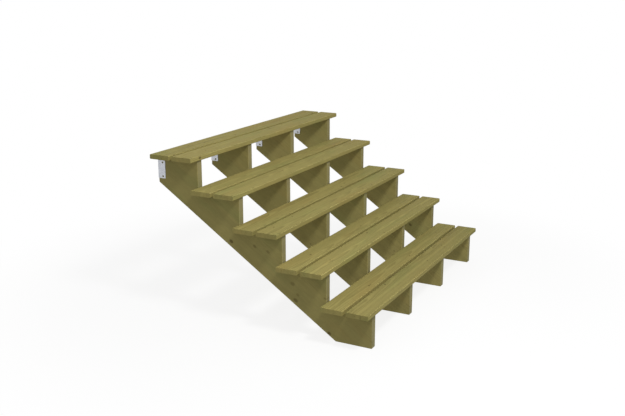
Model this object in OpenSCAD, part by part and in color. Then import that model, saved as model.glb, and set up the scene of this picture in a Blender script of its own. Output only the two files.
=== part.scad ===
// Open-riser deck stairs. Pairs of planed boards lie on sawtooth stringers that are
// cut from one plank each, and folded steel angles hang the stringers on the deck's edge.
//
// Seen from the foot of the flight, X runs to the right along the treads, Y runs up
// the flight towards the deck, and Z is up. The origin is on the deck face of the
// first bracket, which is the face that the flight hangs by.

/* [Flight] */
// Number of treads
tread_count = 5; // [2:1:8]
// Run from one riser cut to the next
going = 280; // [230:1:320]
// Climb from one seat to the next
rise = 187; // [150:1:210]
// Height of the lowest seat above the ground
first_seat = 195; // [150:1:220]

/* [Treads] */
// Length of the tread boards
tread_length = 1875; // [1200:5:2400]
// Width of one tread board
board_width = 135; // [110:1:160]
// Thickness of the tread boards
board_thickness = 28; // [20:1:45]
// Radius of the planed long edges
board_edge_radius = 5; // [1:0.5:8]
// Open joint between the two boards of a tread
board_gap = 20; // [4:1:30]
// Play between a tread's back edge and the riser cut behind it
tread_clearance = 3; // [1:0.5:10]
// Length of tread that reaches past the outer stringers
end_overhang = 83; // [10:1:200]

/* [Stringers] */
// Number of stringers, spaced evenly
stringer_count = 4; // [2:1:6]
// Thickness of the stringer planks
stringer_thickness = 44; // [30:1:70]
// Width of the plank that each stringer is sawn from
plank_width = 285; // [260:1:330]

/* [Brackets] */
// Width of each leg of the angle
bracket_leg = 52; // [40:1:80]
// Height of the angle along its fold
bracket_height = 108; // [90:1:140]
// Thickness of the steel
bracket_thickness = 2.5; // [1.5:0.5:5]
// Drop from the top seat to the upper end of the angle
bracket_drop = 22; // [0:1:40]
// Radius of the free corners of each leg
bracket_corner_radius = 5; // [1:0.5:10]
// Diameter of the fixing holes
bracket_hole_diameter = 12; // [5:0.5:14]
// Distance from a fixing hole to the leg's free edge
bracket_hole_edge = 18; // [10:1:24]
// Distance from a fixing hole to the nearer end of the angle
bracket_hole_end = 12; // [10:1:25]

/* [Hidden] */
$fn = 48;
timber_top = "#94894f";
timber_side = "#7d7445";
steel = "#b7b9bd";

// The treads
tread_depth = 2 * board_width + board_gap;
nosing = tread_depth + tread_clearance - going;

// The stringers' outline, from the ground at the first riser cut
slope = rise / going;
plank_drop = plank_width / cos(atan(slope));
top_seat = seat_height(tread_count);
back_edge = tread_count * going;
back_low = top_seat + rise - plank_drop;
heel = (plank_drop - first_seat) / slope;
outer_face = end_overhang - tread_length / 2;
stringer_pitch = (tread_length - 2 * end_overhang - stringer_thickness) / (stringer_count - 1);

// The origin, measured from the ground at the middle of the first riser cut
bracket_top = top_seat - bracket_drop;
origin = [
    outer_face - bracket_thickness + bracket_leg / 2,
    back_edge + bracket_thickness,
    bracket_top - bracket_height / 2
];

TREADS = [for (step = [1 : tread_count]) each [tread_name(step, "front"), tread_name(step, "back")]];
STRINGERS = [for (place = [1 : stringer_count]) str("stringer_", place)];
BRACKETS = [for (place = [1 : stringer_count]) str("bracket_", place)];

function tread_name(step, row) = str("tread_", step, "_", row, "_board");
function seat_height(step) = first_seat + (step - 1) * rise;
function near_face(place) = outer_face + (place - 1) * stringer_pitch;

// One seat and the riser cut that leads up to it, as corners of the sawtooth
function notch(step) = [
    [(step - 1) * going, seat_height(step)],
    [step * going, seat_height(step)]
];

function stringer_outline() = concat(
    [[0, 0]],
    [for (step = [1 : tread_count]) each notch(step)],
    [[back_edge, back_low], [heel, 0]]
);

// Moves from the ground at the first riser cut to the part's own origin
module set_out() {
    translate(-origin) children();
}

// Stands an outline drawn in run and height upright and gives it a length along X
module along_x(length) {
    rotate([90, 0, 90]) linear_extrude(length) children();
}

module board_section() {
    radius = board_edge_radius;
    translate([radius, 0]) square([board_width - 2 * radius, board_thickness]);
    translate([0, radius]) square([board_width, board_thickness - 2 * radius]);
    for (across = [radius, board_width - radius], up = [radius, board_thickness - radius])
        translate([across, up]) circle(radius);
}

module tread_board(step, rows_back) {
    front = (step - 1) * going - nosing + rows_back * (board_width + board_gap);
    color(timber_top)
        set_out()
            translate([-tread_length / 2, front, seat_height(step)])
                along_x(tread_length) board_section();
}

module stringer(place) {
    color(timber_side)
        set_out()
            translate([near_face(place), 0, 0])
                along_x(stringer_thickness) polygon(stringer_outline());
}

// A leg of the angle, flat in X and Y: the fold is at X = 0 and the free edge is rounded
module bracket_leg_sheet() {
    radius = bracket_corner_radius;
    flat = bracket_leg - bracket_thickness;
    difference() {
        linear_extrude(bracket_thickness) {
            square([flat - radius, bracket_height]);
            translate([0, radius]) square([flat, bracket_height - 2 * radius]);
            for (end = [radius, bracket_height - radius])
                translate([flat - radius, end]) circle(radius);
        }
        for (end = [bracket_hole_end, bracket_height - bracket_hole_end])
            translate([flat - bracket_hole_edge, end, -bracket_thickness])
                cylinder(h = 3 * bracket_thickness, d = bracket_hole_diameter);
    }
}

// The fold, a quarter of a round bar about the stringer's back corner
module bracket_fold() {
    intersection() {
        cylinder(h = bracket_height, r = bracket_thickness);
        translate([-bracket_thickness, 0, 0])
            cube([bracket_thickness, bracket_thickness, bracket_height]);
    }
}

module bracket(place) {
    color(steel)
        set_out()
            translate([near_face(place), back_edge, bracket_top - bracket_height]) {
                bracket_fold();
                // The leg behind the stringer, which meets the deck
                translate([0, bracket_thickness, 0]) rotate([90, 0, 0]) bracket_leg_sheet();
                // The leg on the stringer's side
                translate([-bracket_thickness, 0, 0])
                    mirror([0, 1, 0]) rotate([90, 0, 90]) bracket_leg_sheet();
            }
}

for (step = [1 : tread_count]) {
    tread_board(step, 0);
    tread_board(step, 1);
}
for (place = [1 : stringer_count]) {
    stringer(place);
    bracket(place);
}
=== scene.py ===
# %% [markdown]
# # Deck stairs with open risers
#
# These stairs lead from a garden up to a low deck. Five treads, each of two planed boards with
# an open joint between them, lie on four stringers. Each stringer is one wide plank with a
# sawtooth cut along its upper edge, and a folded steel angle hangs it on the edge of the deck.
#
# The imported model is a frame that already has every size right. What is left for Blender is
# what makes timber look like timber: eased edges, growth rings, knots and the tint of the
# preservative. So the frame is loaded and measured first, and every later value starts from it.

import math
import random
from collections import namedtuple

import bmesh
import bpy
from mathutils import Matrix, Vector, noise


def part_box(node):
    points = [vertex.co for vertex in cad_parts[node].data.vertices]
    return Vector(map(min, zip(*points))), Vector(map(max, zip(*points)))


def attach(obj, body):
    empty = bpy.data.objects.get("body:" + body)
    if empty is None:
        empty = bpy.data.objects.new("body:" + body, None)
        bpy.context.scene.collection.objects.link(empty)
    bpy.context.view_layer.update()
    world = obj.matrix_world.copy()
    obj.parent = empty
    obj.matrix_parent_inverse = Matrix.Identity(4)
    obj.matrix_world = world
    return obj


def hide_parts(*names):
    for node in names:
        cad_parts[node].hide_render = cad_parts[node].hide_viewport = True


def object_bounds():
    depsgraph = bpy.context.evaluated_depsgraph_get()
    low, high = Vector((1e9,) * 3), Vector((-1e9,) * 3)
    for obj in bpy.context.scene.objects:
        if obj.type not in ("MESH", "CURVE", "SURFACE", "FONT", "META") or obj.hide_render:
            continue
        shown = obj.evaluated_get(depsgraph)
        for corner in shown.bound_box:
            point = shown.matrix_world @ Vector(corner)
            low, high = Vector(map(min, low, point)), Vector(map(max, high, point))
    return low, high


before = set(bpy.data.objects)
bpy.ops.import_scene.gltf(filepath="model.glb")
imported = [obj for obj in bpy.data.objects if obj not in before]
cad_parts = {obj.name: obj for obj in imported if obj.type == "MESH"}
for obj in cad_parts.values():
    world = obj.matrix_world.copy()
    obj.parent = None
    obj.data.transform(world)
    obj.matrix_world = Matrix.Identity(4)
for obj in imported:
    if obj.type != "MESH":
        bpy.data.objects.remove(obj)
cad_low, cad_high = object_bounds()
scene = bpy.context.scene
scene.view_settings.view_transform = "Standard"

flight_size = cad_high - cad_low
foot = Vector(((cad_low.x + cad_high.x) / 2, cad_low.y, cad_low.z))
heart = (cad_low + cad_high) / 2
boards = sorted(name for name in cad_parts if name.endswith("_board"))
stringers = sorted(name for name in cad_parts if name.startswith("stringer_"))
brackets = sorted(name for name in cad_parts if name.startswith("bracket_"))
print("flight", [round(side, 3) for side in flight_size], "m")
print(len(boards), "boards,", len(stringers), "stringers,", len(brackets), "brackets")

# %% [markdown]
# ## Where the eye stands
#
# The stairs are seen from the left of their foot, from about a metre above the deck, with the
# lens of a normal camera. A camera could be aimed with a constraint, but a heading and a tilt are
# two plain numbers that can be corrected one at a time, so they are set directly. The eye is
# measured from the foot of the flight, under the middle of the lowest nosing.

# %% Camera
eye_to_the_left = 4.889
eye_before_the_nosing = 1.746
eye_above_the_ground = 1.997
heading_to_the_right = math.radians(62.215)
tilt_down = math.radians(15.225)

viewpoint_lens = bpy.data.cameras.new("viewpoint")
viewpoint_lens.lens = 50
viewpoint_lens.sensor_width = 36
viewpoint_lens.sensor_fit = "HORIZONTAL"
viewpoint = bpy.data.objects.new("viewpoint", viewpoint_lens)
viewpoint.location = foot + Vector((-eye_to_the_left, -eye_before_the_nosing, eye_above_the_ground))
viewpoint.rotation_euler = (math.pi / 2 - tilt_down, 0, -heading_to_the_right)
scene.collection.objects.link(viewpoint)
scene.camera = viewpoint
print("eye", [round(part, 3) for part in viewpoint.location], "m")

# %% [markdown]
# ## Sums on sockets
#
# A material is a web of nodes, and a web is hard to read as a list of nodes and links. One small
# class holds an output socket and answers to plus, minus, times and divide by adding the Math
# node for it. Then `1 - mask` in Python is a sum in the material. Every other kind of node comes
# from one method, which sets the node up before it feeds its sockets.

# %% A wire that can be added and multiplied
class Wire:
    """One output socket of a node tree, or the tree alone where nothing has been made yet."""

    def __init__(self, tree, socket=None):
        self.tree = tree
        self.socket = socket

    def add(self, kind, settings=None, feeds=None, output=0):
        """Adds a node: its settings first, then what each socket holds or is fed."""
        node = self.tree.nodes.new("ShaderNode" + kind)
        for name, value in (settings or {}).items():
            setattr(node, name, value)
        for name, value in (feeds or {}).items():
            socket = self.pick(node.inputs, name)
            if isinstance(value, Wire):
                self.tree.links.new(value.socket, socket)
            else:
                socket.default_value = value
        return Wire(self.tree, self.pick(node.outputs, output))

    @staticmethod
    def pick(sockets, name):
        """A socket by number or name. A Mix node has several of one name and uses one of them."""
        if isinstance(name, int):
            return sockets[name] if len(sockets) > name else None
        return next(socket for socket in sockets if socket.name == name and socket.enabled)

    def math(self, operation, *others):
        return self.add("Math", {"operation": operation}, dict(enumerate((self, *others))))

    def __add__(self, other):
        return self.math("ADD", other)

    def __sub__(self, other):
        return self.math("SUBTRACT", other)

    def __rsub__(self, other):
        return self.math("MULTIPLY_ADD", -1, other)

    def __mul__(self, other):
        return self.math("MULTIPLY", other)

    def __truediv__(self, other):
        return self.math("DIVIDE", other)

    def __rtruediv__(self, other):
        return self.math("POWER", -1) * other

    __radd__ = __add__
    __rmul__ = __mul__


print("a wire answers to + - * / with Math nodes")

# %% [markdown]
# ## A white room
#
# The stairs stand alone on white, yet their sides and undersides are soft and readable, as under
# a cloudy sky: light comes from all around. A room that is as bright as it looks would wash the
# timber out, so the room tells rays apart. What the eye sees, directly or in the steel, is white,
# and what lights the timber is about half of that.

# %% World
white = (1, 1, 1, 1)
room_level = 0.52


def cleared(owner):
    """The emptied node tree of a material or world, as a wire to start from."""
    owner.use_nodes = True
    owner.node_tree.nodes.clear()
    return Wire(owner.node_tree)


def seen(start):
    """1 for rays from the eye, also by way of metal or glass, and 0 for rays that light things."""
    direct = start.add("LightPath", output="Is Camera Ray")
    mirrored = start.add("LightPath", output="Is Glossy Ray")
    through = start.add("LightPath", output="Is Transmission Ray")
    return direct.math("MAXIMUM", mirrored).math("MAXIMUM", through)


room = bpy.data.worlds.new("white_room")
scene.world = room
room_start = cleared(room)
room_seen = seen(room_start)
room_strength = room_seen + (1 - room_seen) * room_level
room_light = room_start.add("Background", feeds={"Color": white, "Strength": room_strength})
room_start.add("OutputWorld", feeds={"Surface": room_light})
print("the room lights the stairs at", room_level, "of white")

# %% [markdown]
# ## A floor that keeps the shadow
#
# A pale floor throws light back up, which is why the undersides of the treads aren't black. A
# plain white sheet would look a little grey and end in a line where the room begins. So the
# floor tells rays apart as the room does. It gives the timber a little more light than the walls
# do, and to the eye it is white, but near the stairs a share of it is a real matt surface, which
# takes their shadow and fades into plain white a few steps away.

# %% Floor paint
shadow_reach = (2.6, 1.3)
floor_white = (0.93, 0.93, 0.93, 1)
shadow_share = 0.15
floor_level = 0.57


def fade(value, start, end):
    """Rises smoothly from 0 where the value is at start to 1 where it is at end."""
    feeds = {"Value": value, "From Min": start, "From Max": end}
    return value.add("MapRange", {"interpolation_type": "SMOOTHSTEP"}, feeds)


floor_paint = bpy.data.materials.new("floor_paint")
floor_start = cleared(floor_paint)
floor_place = floor_start.add("TexCoord", output="Object")
from_the_stairs = floor_start.add("VectorMath", {"operation": "LENGTH"}, {0: floor_place}, "Value")
near_the_stairs = shadow_share * fade(from_the_stairs, *shadow_reach)
shaded = floor_start.add("BsdfDiffuse", feeds={"Color": floor_white})
plain = floor_start.add("Emission", feeds={"Color": white, "Strength": 1})
shown = floor_start.add("MixShader", feeds={0: near_the_stairs, 1: plain, 2: shaded})
bounced = floor_start.add("Emission", feeds={"Color": white, "Strength": floor_level})
floor_look = floor_start.add("MixShader", feeds={0: seen(floor_start), 1: bounced, 2: shown})
floor_start.add("OutputMaterial", feeds={"Surface": floor_look})
print("the floor lights the stairs at", floor_level, "of white")

# %% Floor
floor_reach = 30
corner_signs = [(-1, -1), (1, -1), (1, 1), (-1, 1)]

floor_mesh = bpy.data.meshes.new("floor")
floor_corners = [(floor_reach * across, floor_reach * along, 0) for across, along in corner_signs]
floor_mesh.from_pydata(floor_corners, [], [(0, 1, 2, 3)])
floor_mesh.materials.append(floor_paint)
floor = bpy.data.objects.new("floor", floor_mesh)
floor.location = (heart.x, heart.y, cad_low.z)
scene.collection.objects.link(floor)
print("floor at", round(cad_low.z, 4), "m")

# %% [markdown]
# ## One near lamp
#
# On the stringers' sides each tread draws the slanting edge of a shadow, steep at the foot and
# flatter further up. A sun would draw all of them alike, and only a lamp close by does that. It
# hangs in front of the foot, to the left and high above the deck, and it is wide enough to make
# the edges soft. A second, weak lamp behind keeps the back readable. A lamp's place is measured
# from the foot of the flight, as the eye's is. Its level is the light that it gives a surface
# turned to it, where 1 shows a colour as it is written: that takes pi squared watts at a metre.

# %% Lamps
def soft_lamp(name, from_the_foot, width, level):
    """A square lamp that looks at the middle of the stairs."""
    place = foot + Vector(from_the_foot)
    away = place - heart
    lamp_data = bpy.data.lights.new(name, "AREA")
    lamp_data.shape = "SQUARE"
    lamp_data.size = width
    lamp_data.energy = level * math.pi**2 * away.length_squared
    lamp = bpy.data.objects.new(name, lamp_data)
    lamp.location = place
    lamp.rotation_euler = away.to_track_quat("Z", "Y").to_euler()
    scene.collection.objects.link(lamp)
    print(name, "gives", level, "from", round(away.length, 2), "m")


soft_lamp("lamp_key", from_the_foot=(-1.50, -1.575, 3.74), width=0.7, level=0.57)
soft_lamp("lamp_back", from_the_foot=(1.20, 4.92, 4.58), width=2.5, level=0.05)

# %% [markdown]
# ## Timber that is solid all through
#
# A picture of wood pasted on a board never agrees at its corners. Real grain is solid: rings grow
# around the pith, and a board shows them as streaks on its face and as arcs on its end. So the
# material works from a point's place in the plank, along the grain, across the face and through
# the thickness, and every face, end and notch shows its own cut of the same rings. Each pattern
# in the wood is a noise that is stretched to its own length, width and depth.

# %% Places in the plank
Pattern = namedtuple("Pattern", "size seed detail", defaults=(2,))
pattern_roughness = 0.55
pattern_middle = 0.5


def in_the_plank(start, corner, directions):
    """How far a point is along the grain, across the face and through the plank, in metres."""
    place = start.add("TexCoord", output="Object")
    offset = start.add("VectorMath", {"operation": "SUBTRACT"}, {0: place, 1: corner})
    feeds = [{0: offset, 1: direction} for direction in directions]
    return [start.add("VectorMath", {"operation": "DOT_PRODUCT"}, feed, "Value") for feed in feeds]


def mottle(places, pattern, seed):
    """Noise from 0 to 1, in patches of the pattern's length, width and depth in metres."""
    stretched = [place / side for place, side in zip(places, pattern.size)]
    where = places[0].add("CombineXYZ", feeds=dict(enumerate(stretched)))
    feeds = {
        "Vector": where,
        "W": seed + pattern.seed,
        "Scale": 1,
        "Detail": pattern.detail,
        "Roughness": pattern_roughness,
    }
    return where.add("TexNoise", {"noise_dimensions": "4D"}, feeds)


print("places and patterns ready, with noise about", pattern_middle)

# %% [markdown]
# ## Knots
#
# A knot is a branch that the trunk grew around. It is darker, has fine rings of its own, and the
# grain flows round it like water round a post. A dark spot alone would look painted on. So each
# knot here is a place, a radius and how dark it is, and near it the place across the face is drawn
# towards the knot's middle before the rings are worked out, which bends them outwards around it.
# Most knots go right through the plank, and a deep value makes one a small ball at that depth.

# %% Knots and the grain around them
Knot = namedtuple("Knot", "along across radius dark deep", defaults=(0.7, None))
knot_stretch = 1.5
knot_rim = (1.25, 0.6)
knot_reach = 3.4
knot_pull = 0.8
far_from_knots = 9


def around_knots(places, knots):
    """The share of knot at a point, its radii from the nearest one, and its bent place across."""
    along, across, through = places
    flat = along.add("CombineXYZ", feeds={0: along / knot_stretch, 1: across})
    solid = along.add("CombineXYZ", feeds={0: along / knot_stretch, 1: across, 2: through})
    share = 0 * along
    nearest = far_from_knots + share
    bent = across
    for spot in knots:
        place, depth = (flat, 0) if spot.deep is None else (solid, spot.deep)
        ends = {0: place, 1: (spot.along / knot_stretch, spot.across, depth)}
        away = place.add("VectorMath", {"operation": "DISTANCE"}, ends, "Value") / spot.radius
        share = share.math("MAXIMUM", spot.dark * fade(away, *knot_rim))
        nearest = nearest.math("MINIMUM", away)
        bent = bent - (across - spot.across) * (knot_pull * fade(away, knot_reach, knot_rim[1]))
    return share, nearest, bent


print("a knot bends the grain within", knot_reach, "times its radius")

# %% [markdown]
# ## Growth rings
#
# Each year adds a wide pale band and a narrow dark one, which ends sharply where the next year
# begins. A Wave texture draws rings too, but about a straight axis and all alike. Here the
# distance from the pith, divided by the width of a ring, counts the years. The pith sways a little
# along the trunk and the trunk tapers, and those two small changes are what draw long arches on a
# board's face instead of ruled lines.

# %% Rings
trunk_taper = 0.008
pith_sway = 0.05
pith_dip = 0.03
ring_wobble = 0.7
beyond_the_plank = 9
sways = Pattern((0.8, beyond_the_plank, beyond_the_plank), seed=0, detail=1)
dips = Pattern((0.6, beyond_the_plank, beyond_the_plank), seed=3, detail=1)
ring_waves = Pattern((0.12, 0.018, 0.018), seed=5)
late_begins = (0.15, 0.85)
late_ends = (1.0, 0.93)


def growth_rings(places, bent, pith, ring_width, seed):
    """0 in the pale early wood of a year, rising to 1 in its dark late wood."""
    along, _, through = places
    sway = mottle(places, sways, seed) - pattern_middle
    dip = mottle(places, dips, seed) - pattern_middle
    sideways = bent - pith[0] + pith_sway * sway
    downwards = through - pith[1] + pith_dip * dip
    radius = (sideways * sideways + downwards * downwards).math("SQRT")
    wobble = ring_wobble * mottle(places, ring_waves, seed)
    years = (radius + trunk_taper * along) / ring_width + wobble
    season = years.math("FRACT")
    return fade(season, *late_begins) * fade(season, *late_ends)


print("a trunk tapers", trunk_taper * 1000, "mm in a metre")

# %% [markdown]
# ## Streaks, patches and fibres
#
# No two planks take up the preservative alike. Besides the rings there are streaks as wide as a
# finger, stripes that run the whole length, patches as long as a forearm, flecks, and fibres as
# fine as thread. One noise with much detail would mix all of these into a blur. So each has a
# pattern of its own, and a share that says how much lighter and darker it makes the wood. A
# planed board shows its long lines clearly and a sawn plank blurs them into patches, so one
# number says how much the lines count. Single bands along a board can be lighter, or darker to
# paint the shade in a joint, and a board's left end can be painted lighter, where the lamp is nearer.

# %% Patterns in the timber
streaks = Pattern((0.45, 0.012, 0.03), seed=11, detail=3)
patches = Pattern((0.35, 0.07, 0.07), seed=17)
fibres = Pattern((0.05, 0.0011, 0.0011), seed=23)
stripes = Pattern((3.0, 0.016, 0.2), seed=37, detail=1)
flecks = Pattern((0.05, 0.012, 0.05), seed=41)
streak_share = 0.28
patch_share = 0.16
blurred_share = 0.48
fibre_share = 0.16
stripe_share = 0.2
fleck_share = 0.24
print("streaks", streaks.size[1] * 1000, "mm wide, fibres", fibres.size[1] * 1000, "mm")

# %% Light and dark
usual_level = 0.99
band_edge = (0.014, 0.002)
# Painted light: how far in from a board's left end the lighter paint reaches, in metres.
painted_end_light_reach = (1.0, 0.1)


def wood_level(places, bent_places, seed, lines):
    """How light the wood is at a point, about 1, and the streaks and fibres that are in it."""
    streak = mottle(bent_places, streaks, seed)
    patch = mottle(places, patches, seed)
    fibre = mottle(bent_places, fibres, seed)
    stripe = mottle(places, stripes, seed)
    fleck = mottle(bent_places, flecks, seed)
    lined = streak_share * (streak - pattern_middle) + stripe_share * (stripe - pattern_middle)
    patched = (patch_share + blurred_share * (1 - lines)) * (patch - pattern_middle)
    fine = fibre_share * (fibre - pattern_middle) + fleck_share * (fleck - pattern_middle)
    return usual_level + lines * lined + patched + fine, streak, fibre


def banded(level, along, across, bands, painted_end_light):
    """The level with light painted on the left end, nearer the lamp, and with bands along the plank."""
    # Painted light: lighter towards the left end, where the lamp is nearer.
    level = level + painted_end_light * fade(along, *painted_end_light_reach)
    for middle, share in bands:
        level = level + share * fade((across - middle).math("ABSOLUTE"), *band_edge)
    return level


print("a band is", 2000 * band_edge[0], "mm wide")

# %% [markdown]
# ## Cuts and splits
#
# Where a saw has gone across the fibres the wood is rougher and greyer, and drying opens small
# splits that run in from a plank's ends. The ends could have a material of their own, but that
# would stop at a hard border. The angle between a face and the grain tells the cuts apart
# everywhere, on eased edges and in notches too.

# %% Cuts and splits
end_on_range = (0.3, 0.95)
splits = Pattern((0.5, 0.0035, 0.02), seed=31, detail=1)
split_range = (0.66, 0.72)
split_reach = 0.09


def across_the_fibres(start, grain):
    """1 where a cut goes straight across the grain, 0 where it runs along it."""
    facing_out = start.add("TexCoord", output="Normal")
    feeds = {0: facing_out, 1: grain}
    end_on = start.add("VectorMath", {"operation": "DOT_PRODUCT"}, feeds, "Value")
    return fade(end_on.math("ABSOLUTE"), *end_on_range)


def end_splits(bent_places, length, seed):
    """1 in the splits near the two ends of a plank, 0 elsewhere."""
    along = bent_places[0]
    from_the_end = along.math("MINIMUM", length - along)
    return fade(mottle(bent_places, splits, seed), *split_range) * fade(from_the_end, split_reach, 0)


print("splits reach", split_reach * 1000, "mm in from an end")

# %% [markdown]
# ## The colours of treated pine
#
# Pressure treatment leaves softwood olive, greener in some places and warmer in others. A colour
# ramp could give all of this from one number, but then green could never lie across a ring. So
# the colours are laid over one another, as glazes are, each with a share that says where it shows.

# %% Timber colours
def colour(code):
    """A colour of six hex digits, turned by the sRGB curve into the linear numbers of sockets."""
    parts = [int(code[place : place + 2], 16) / 255 for place in (0, 2, 4)]
    linear = [part / 12.92 if part <= 0.04045 else ((part + 0.055) / 1.055) ** 2.4 for part in parts]
    return (*linear, 1)


early_wood = colour("998f57")
late_wood = colour("7b7142")
green_wood = colour("84864f")
warm_wood = colour("95824c")
knot_wood = colour("4e4124")
split_wood = colour("3b3219")
# Painted highlight: the paler colour of the arrises, where their rounding catches the light.
arris_highlight_colour = colour("afa674")
sawn_wood = colour("928f80")
print("early wood is", [round(part, 3) for part in early_wood[:3]], "in linear numbers")

# %% Clear wood
ring_share = 0.15
lined_ring_share = 0.4
cut_ring_share = 0.15
tints = Pattern((0.6, 0.12, 0.12), seed=29)
tint_share = 0.5
green_range = (0.5, 0.75)
warm_range = (0.5, 0.25)
cut_shade = 0.03
sawn_face_share = 0.12


def blend(share, one, other):
    """One colour where the share is 0, the other where it is 1."""
    settings = {"data_type": "RGBA", "clamp_factor": True}
    return share.add("Mix", settings, {"Factor": share, "A": one, "B": other}, "Result")


def dimmed(shade, level):
    """A colour made lighter or darker by a level."""
    return level.add("VectorMath", {"operation": "SCALE"}, {0: shade, "Scale": level}, 0)


def clear_wood(late, tint, level, end_grain, lines, sawn):
    """The colour of the wood before its knots, splits and worn edges."""
    ring = late * (ring_share + lined_ring_share * lines + cut_ring_share * end_grain)
    shade = blend(ring, early_wood, late_wood)
    shade = blend(tint_share * fade(tint, *green_range), shade, green_wood)
    shade = blend(tint_share * fade(tint, *warm_range), shade, warm_wood)
    shade = dimmed(shade, level * (1 - cut_shade * end_grain))
    grey = sawn * (sawn_face_share + (1 - sawn_face_share) * end_grain)
    return blend(grey, shade, sawn_wood)


print("tints change over", tints.size[0], "m along the grain")

# %% [markdown]
# ## The finished timber
#
# One material for all planks would show the same knots in each, so every plank gets its own, with
# its own pith and ring width drawn by chance. Over the clear wood come knots, splits and a painted
# highlight that makes the arrises a little paler. The height for the bump comes from the same masks
# as the colour, so that light and colour agree.

# %% Relief
ring_height = 0.35
fibre_height = 0.45
knot_height = 0.3
split_depth = 2.0
cut_height = 0.5
relief_strength = 0.5
relief_distance = 0.0006


def wood_relief(start, late, fibre, streak, knot, split, end_grain):
    """The bump of rings, fibres and knots, of splits, and of streaks where the wood is cut across."""
    height = ring_height * late + fibre_height * fibre + knot_height * knot
    height = height - split_depth * split + cut_height * end_grain * streak
    feeds = {"Strength": relief_strength, "Distance": relief_distance, "Height": height}
    return start.add("Bump", feeds=feeds)


print("the relief is up to", relief_distance * 1000, "mm for a height of 1")

# %% Timber
pith_across = (0.03, 0.11)
pith_below = (0.02, 0.07)
ring_widths = (0.0045, 0.0065)
knot_share = 0.9
knot_ring_share = 0.2
knot_rings = 4
split_share = 0.75
# Painted highlight: how much paler the arrises are painted.
arris_highlight_share = 0.06
timber_roughness = 0.66
fibre_roughness = 0.1
late_gloss = 0.08
cut_roughness = 0.12
timber_specular = 0.03


def timber(name, corner, directions, length, knots, seed, tone, lines, sawn=0, bands=(), painted_end_light=0):
    """A plank's own material, from where its corner is and how its grain runs.

    Lines is how clearly the long grain shows and sawn how grey the cuts across it are. Bands lists
    where lighter or darker bands lie across the face, the darker ones painted shade in a joint, and
    the last argument paints light on the left end, where the lamp is nearer.
    """
    chance = random.Random(seed)
    pith = (chance.uniform(*pith_across), -chance.uniform(*pith_below))
    ring_width = chance.uniform(*ring_widths)
    material = bpy.data.materials.new(name)
    start = cleared(material)
    places = in_the_plank(start, corner, directions)
    along, across, through = places
    knot, from_knots, bent = around_knots(places, knots)
    bent_places = [along, bent, through]
    late = growth_rings(places, bent, pith, ring_width, seed)
    level, streak, fibre = wood_level(places, bent_places, seed, lines)
    level = banded(level, along, across, bands, painted_end_light)
    end_grain = across_the_fibres(start, directions[0])
    split = end_splits(bent_places, length, seed)
    tint = mottle(places, tints, seed)
    # The mark of the arrises, where the painted highlight goes.
    arris_highlight = start.add("Attribute", {"attribute_name": "arris_highlight"}, output="Fac")

    shade = clear_wood(late, tint, tone * level, end_grain, lines, sawn)
    knot_year = (from_knots * knot_rings).math("FRACT")
    shade = blend(knot * (knot_share + knot_ring_share * knot_year), shade, knot_wood)
    shade = blend(split_share * split, shade, split_wood)
    # Painted highlight: the arrises a little paler, as where they catch the light.
    shade = blend(arris_highlight_share * arris_highlight, shade, arris_highlight_colour)

    rough = timber_roughness + fibre_roughness * fibre - late_gloss * late + cut_roughness * end_grain
    finish = {
        "Base Color": shade,
        "Roughness": rough,
        "Normal": wood_relief(start, late, fibre, streak, knot, split, end_grain),
        "Specular IOR Level": timber_specular,
    }
    surface = start.add("BsdfPrincipled", feeds=finish)
    start.add("OutputMaterial", feeds={"Surface": surface})
    return material


print("rings are", [width * 1000 for width in ring_widths], "mm wide")

# %% [markdown]
# ## Tread boards
#
# A decking board leaves the planer with its four long edges rounded, and its ends are sawn and
# lightly eased. A cube with a bevel would give every edge the same radius. Here one rounded
# section is swept along the board, its corners a little fuller or flatter from place to place as
# on wood that has been handled, and its last rings draw in at the ends. The board then takes the
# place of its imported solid, with the same body and the same finish slot.

# %% Board sections
edge_radius = 0.005
end_ease = 0.0018
end_ease_steps = [(0.0, 0.6), (0.3, 0.2), (1.0, 0.0)]
corner_steps = 6
station_gap = 0.055


def board_section(half_width, half_thickness, radii):
    """Corner points of a rounded section, with 1 where an arris gets the painted highlight and 0 where it
    is flat.
    """
    points = []
    for turn, (side, up) in enumerate(corner_signs):
        radius = radii[turn]
        for step in range(corner_steps + 1):
            angle = math.pi + math.pi / 2 * (turn + step / corner_steps)
            across = side * (half_width - radius) + radius * math.cos(angle)
            rise = up * (half_thickness - radius) + radius * math.sin(angle)
            points.append((across, rise, math.sin(math.pi * step / corner_steps)))
    return points


def board_stations(length):
    """Places along a board, each with how far the section is drawn in there."""
    ease = [(along * end_ease, inset * end_ease) for along, inset in end_ease_steps]
    count = round(length / station_gap)
    plain = [(length * step / count, 0.0) for step in range(1, count)]
    return [*ease, *plain, *((length - along, inset) for along, inset in reversed(ease))]


print("a board's section has", len(corner_signs) * (corner_steps + 1), "points")

# %% Board meshes
handled = 0.14
handled_waves = 6
corners_apart = 7.3


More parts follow.
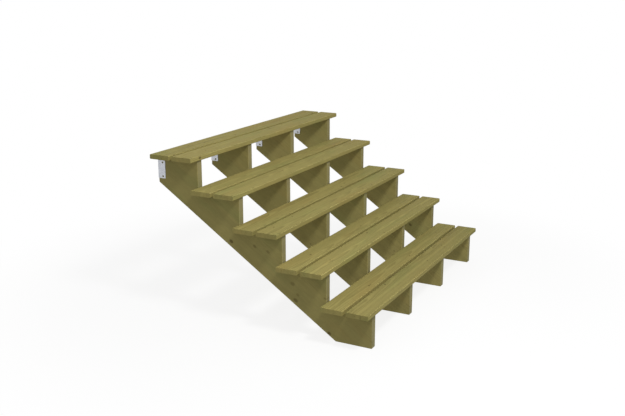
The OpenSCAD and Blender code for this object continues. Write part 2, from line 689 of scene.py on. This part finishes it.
def board_mesh(name, low, high, seed):
    """A board swept along X, between the corners of its box."""
    middle = (low + high) / 2
    half_width = (high.y - low.y) / 2
    half_thickness = (high.z - low.z) / 2
    shape = bmesh.new()
    # Each arris point carries a mark for the painted highlight.
    highlight_layer = shape.verts.layers.float.new("arris_highlight")
    rings = []
    for along, inset in board_stations(high.x - low.x):
        spots = [(along * handled_waves, turn * corners_apart, seed) for turn in range(len(corner_signs))]
        radii = [edge_radius * (1 + handled * noise.noise(Vector(spot))) - inset for spot in spots]
        ring = []
        for across, rise, arris_highlight in board_section(half_width - inset, half_thickness - inset, radii):
            point = shape.verts.new((low.x + along, middle.y + across, middle.z + rise))
            point[highlight_layer] = arris_highlight
            ring.append(point)
        rings.append(ring)
    for ring, following in zip(rings, rings[1:]):
        for place, point in enumerate(ring):
            after = (place + 1) % len(ring)
            face = shape.faces.new((point, ring[after], following[after], following[place]))
            face.smooth = place % (corner_steps + 1) != corner_steps
    shape.faces.new(list(reversed(rings[0])))
    shape.faces.new(rings[-1])
    bmesh.ops.recalc_face_normals(shape, faces=shape.faces)
    mesh = bpy.data.meshes.new(name)
    shape.to_mesh(mesh)
    shape.free()
    return mesh


def stand_in(name, mesh, node, material):
    """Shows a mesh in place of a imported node, with the same body and the same finish slot."""
    mesh.materials.append(material)
    piece = bpy.data.objects.new(name, mesh)
    scene.collection.objects.link(piece)
    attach(piece, "root")
    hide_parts(node)


print("handling changes an edge's radius by up to", 100 * handled, "per cent")

# %% [markdown]
# ## Knots and tones in the boards
#
# Decking is sold with small sound knots. All of them could be left to chance, but a few sit where
# they can be seen on the treads, and those are given one by one. The rest are dealt out from a seed
# of the board's own, so that they fall in the same places each time. A knot's place is metres from
# the board's left end and from its front edge. A band has its place from the front edge and how
# much lighter it is, and two back boards have a dark one along that edge, which is painted shade in
# the joint. Tones list the boards from the lowest tread up.

# %% Knots in the boards
board_knots = {
    "tread_1_front_board": [
        Knot(0.500, 0.117, 0.006),
        Knot(1.031, 0.052, 0.005),
        Knot(1.350, 0.052, 0.006),
    ],
    "tread_1_back_board": [Knot(0.437, 0.037, 0.006)],
    "tread_2_front_board": [Knot(0.844, 0.113, 0.006), Knot(0.900, 0.019, 0.005)],
    "tread_2_back_board": [Knot(0.287, 0.064, 0.006)],
    "tread_5_front_board": [Knot(1.068, 0.108, 0.006), Knot(0.092, 0.0, 0.008, deep=0.017)],
    "tread_5_back_board": [
        Knot(0.756, 0.028, 0.006),
        Knot(0.325, 0.090, 0.005),
        Knot(0.055, 0.002, 0.006, dark=0.45, deep=0.026),
    ],
}
knots_in_a_plank = 4
board_knot_radii = (0.003, 0.006)
end_margin = 0.1
edge_margin = 0.015


def knots_for_board(node, length, width, chance):
    """The board's own knots, made up to the usual number by chance."""
    knots = list(board_knots.get(node, []))
    while len(knots) < knots_in_a_plank:
        along = chance.uniform(end_margin, length - end_margin)
        across = chance.uniform(edge_margin, width - edge_margin)
        knots.append(Knot(along, across, chance.uniform(*board_knot_radii)))
    return knots


print(sum(map(len, board_knots.values())), "knots in the boards are placed by hand")

# %% Boards
board_bands = {
    "tread_1_front_board": [(0.0, 0.14), (0.066, 0.14)],
    "tread_2_front_board": [(0.0, 0.09), (0.066, 0.14)],
    # Painted shade: the dark bands along these back boards' front edges stand for the shade in the joint.
    "tread_3_back_board": [(0.0, -0.12)],
    "tread_4_back_board": [(0.0, -0.08)],
}
# Painted light on the left ends of the two lowest treads, which are nearest the lamp.
painted_end_light_treads = {1: 0.05, 2: 0.06}
board_tones = {
    "front": (0.89, 0.98, 1.01, 1.06, 1.03),
    # The back boards' tones are higher, which paints light over the shade that the tread above casts on
    # them.
    "back": (1.04, 1.05, 1.09, 1.12, 1.00),
}
planed_lines = 1.0
along_the_treads = (Vector((1, 0, 0)), Vector((0, 1, 0)), Vector((0, 0, 1)))
knot_seed = 101
grain_seed = 7.7
edge_seed = 3.1

for seed, node in enumerate(boards, start=1):
    low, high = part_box(node)
    length, width, _ = high - low
    knots = knots_for_board(node, length, width, random.Random(seed * knot_seed))
    _, step, row, _ = node.split("_")
    finish = {
        "seed": seed * grain_seed,
        "tone": board_tones[row][int(step) - 1],
        "lines": planed_lines,
        "bands": board_bands.get(node, []),
        "painted_end_light": painted_end_light_treads.get(int(step), 0),
    }
    board_timber = timber(node + "_timber", low, along_the_treads, length, knots, **finish)
    mesh = board_mesh(node, low, high, seed * edge_seed)
    stand_in(node + "_planed", mesh, node, board_timber)
print(len(boards), "boards planed")

# %% [markdown]
# ## Stringers
#
# A stringer is a plank 285 mm wide. Its lower edge is the plank's own, its notches and its ends
# are sawn, and the sharp corners are taken off with a few strokes of a plane. Its outline could be
# drawn again here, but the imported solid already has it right. So a copy of that is welded, cleared
# of the lines across its flat faces, and given a narrow rounded arris on each outward corner. The
# inward corners of the notches stay as sharp as the saw left them.

# %% Stringer meshes
arris = 0.0025
arris_steps = 3
arris_profile = 0.5
weld_distance = 1e-5
flat_turn = math.radians(1)
outward_turn = math.radians(20)


def eased_copy(node):
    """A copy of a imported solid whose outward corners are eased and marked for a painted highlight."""
    shape = bmesh.new()
    shape.from_mesh(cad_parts[node].data)
    bmesh.ops.remove_doubles(shape, verts=shape.verts, dist=weld_distance)
    bmesh.ops.dissolve_limit(shape, angle_limit=flat_turn, verts=shape.verts, edges=shape.edges)
    for face in shape.faces:
        face.smooth = False
    outward = [edge for edge in shape.edges if edge.calc_face_angle_signed(0) > outward_turn]
    bevel = {"offset": arris, "segments": arris_steps, "profile": arris_profile, "affect": "EDGES"}
    eased = bmesh.ops.bevel(shape, geom=outward, offset_type="OFFSET", clamp_overlap=True, **bevel)
    strips = set(eased["faces"])
    # The eased corners carry a mark for the painted highlight.
    highlight_layer = shape.verts.layers.float.new("arris_highlight")
    for face in strips:
        face.smooth = True
    for point in shape.verts:
        point[highlight_layer] = 1.0 if all(face in strips for face in point.link_faces) else 0.0
    mesh = bpy.data.meshes.new(node)
    shape.to_mesh(mesh)
    shape.free()
    return mesh


print("a stringer's arris is", arris * 1000, "mm wide")

# %% [markdown]
# ## How a stringer's grain runs
#
# The plank lies along the slope of the flight, so its grain climbs with the nosings: one going
# back and one rise up from tread to tread. Knots that can be seen on a stringer's side could be
# measured along the slanting plank, but they are easier to place by their run and height above
# its foot. So a small function turns those two into places along and across the plank.

# %% The slope
first_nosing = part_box("tread_1_front_board")[0]
second_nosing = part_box("tread_2_front_board")[0]
pitch = math.atan2(second_nosing.z - first_nosing.z, second_nosing.y - first_nosing.y)
up_the_slope = (
    Vector((0, math.cos(pitch), math.sin(pitch))),
    Vector((0, -math.sin(pitch), math.cos(pitch))),
    Vector((1, 0, 0)),
)


def on_the_slope(run, height, radius, dark):
    """A knot's place along and across the plank, from its run and height above the foot."""
    along = run * math.cos(pitch) + height * math.sin(pitch)
    across = height * math.cos(pitch) - run * math.sin(pitch)
    return Knot(along, across, radius, dark)


print("the flight climbs at", round(math.degrees(pitch), 1), "degrees")

# %% Knots in the stringers
stringer_knots = {
    "stringer_1": [
        on_the_slope(0.261, 0.041, 0.009, 0.7),
        on_the_slope(0.474, 0.200, 0.011, 0.5),
        on_the_slope(0.460, 0.235, 0.008, 0.35),
        on_the_slope(0.494, 0.296, 0.010, 0.35),
        on_the_slope(0.287, 0.244, 0.006, 0.4),
        on_the_slope(0.652, 0.462, 0.009, 0.35),
        on_the_slope(0.741, 0.481, 0.009, 0.4),
        on_the_slope(0.899, 0.488, 0.010, 0.7),
    ],
    "stringer_4": [on_the_slope(0.439, 0.220, 0.010, 0.6)],
}
below_the_notches = (-0.10, -0.01)
from_end_to_end = (0.2, 1.5)
stringer_knot_radii = (0.004, 0.007)
faint = 0.35


def knots_for_stringer(node, chance):
    """The stringer's own knots, made up to the usual number by faint ones below the notches."""
    knots = list(stringer_knots.get(node, []))
    while len(knots) < knots_in_a_plank:
        along = chance.uniform(*from_end_to_end)
        across = chance.uniform(*below_the_notches)
        knots.append(Knot(along, across, chance.uniform(*stringer_knot_radii), faint))
    return knots


print(sum(map(len, stringer_knots.values())), "knots in the stringers are placed by hand")

# %% Stringers
stringer_tones = {"stringer_1": 0.94, "stringer_2": 0.95, "stringer_3": 1.01, "stringer_4": 0.98}
blurred_lines = 0.4
sawn_grey = 0.3
first_stringer_seed = 31

for seed, node in enumerate(stringers, start=first_stringer_seed):
    low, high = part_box(node)
    _, depth, height = high - low
    knots = knots_for_stringer(node, random.Random(seed * knot_seed))
    finish = {
        "seed": seed * grain_seed,
        "tone": stringer_tones[node],
        "lines": blurred_lines,
        "sawn": sawn_grey,
    }
    plank = math.hypot(depth, height)
    stringer_timber = timber(node + "_timber", low, up_the_slope, plank, knots, **finish)
    stand_in(node + "_sawn", eased_copy(node), node, stringer_timber)
print(len(stringers), "stringers sawn")

# %% [markdown]
# ## Galvanised angles
#
# The brackets are folded from steel strip and dipped in zinc, which freezes in a pattern of pale
# crystals a few millimetres across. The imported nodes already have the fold, the rounded corners
# and the holes, so they stay and only get a finish. Noise alone would look like dust, so Voronoi
# cells give the crystals, each with its own brightness and gloss, under a faint cloud.

# %% Zinc
zinc_pale = colour("d9dbe0")
zinc_dark = colour("b7bac1")
crystal = 0.007
crystal_share = 0.65
clouds_in_a_metre = 45
cloud_detail = 3
cloud_share = 0.35
zinc_roughness = 0.42
crystal_roughness = 0.16
zinc_metallic = 0.75
zinc_relief = {"Strength": 0.15, "Distance": 0.0003}

zinc = bpy.data.materials.new("galvanised_zinc")
zinc_start = cleared(zinc)
zinc_place = zinc_start.add("TexCoord", output="Object")
crystal_cells = {"Vector": zinc_place, "Scale": 1 / crystal, "Randomness": 1}
cell = zinc_start.add("TexVoronoi", {"feature": "F1"}, crystal_cells, "Color")
spangle = zinc_start.add("SeparateColor", feeds={0: cell}, output=0)
clouds = {"Vector": zinc_place, "Scale": clouds_in_a_metre, "Detail": cloud_detail}
cloud = zinc_start.add("TexNoise", feeds=clouds)
zinc_finish = {
    "Base Color": blend(crystal_share * spangle + cloud_share * cloud, zinc_dark, zinc_pale),
    "Roughness": zinc_roughness + crystal_roughness * spangle,
    "Normal": zinc_start.add("Bump", feeds={**zinc_relief, "Height": cloud}),
    "Metallic": zinc_metallic,
}
zinc_surface = zinc_start.add("BsdfPrincipled", feeds=zinc_finish)
zinc_start.add("OutputMaterial", feeds={"Surface": zinc_surface})
print("crystals", crystal * 1000, "mm across")

# %% Brackets
for node in brackets:
    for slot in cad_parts[node].material_slots:
        slot.material = zinc
print(len(brackets), "brackets galvanised")
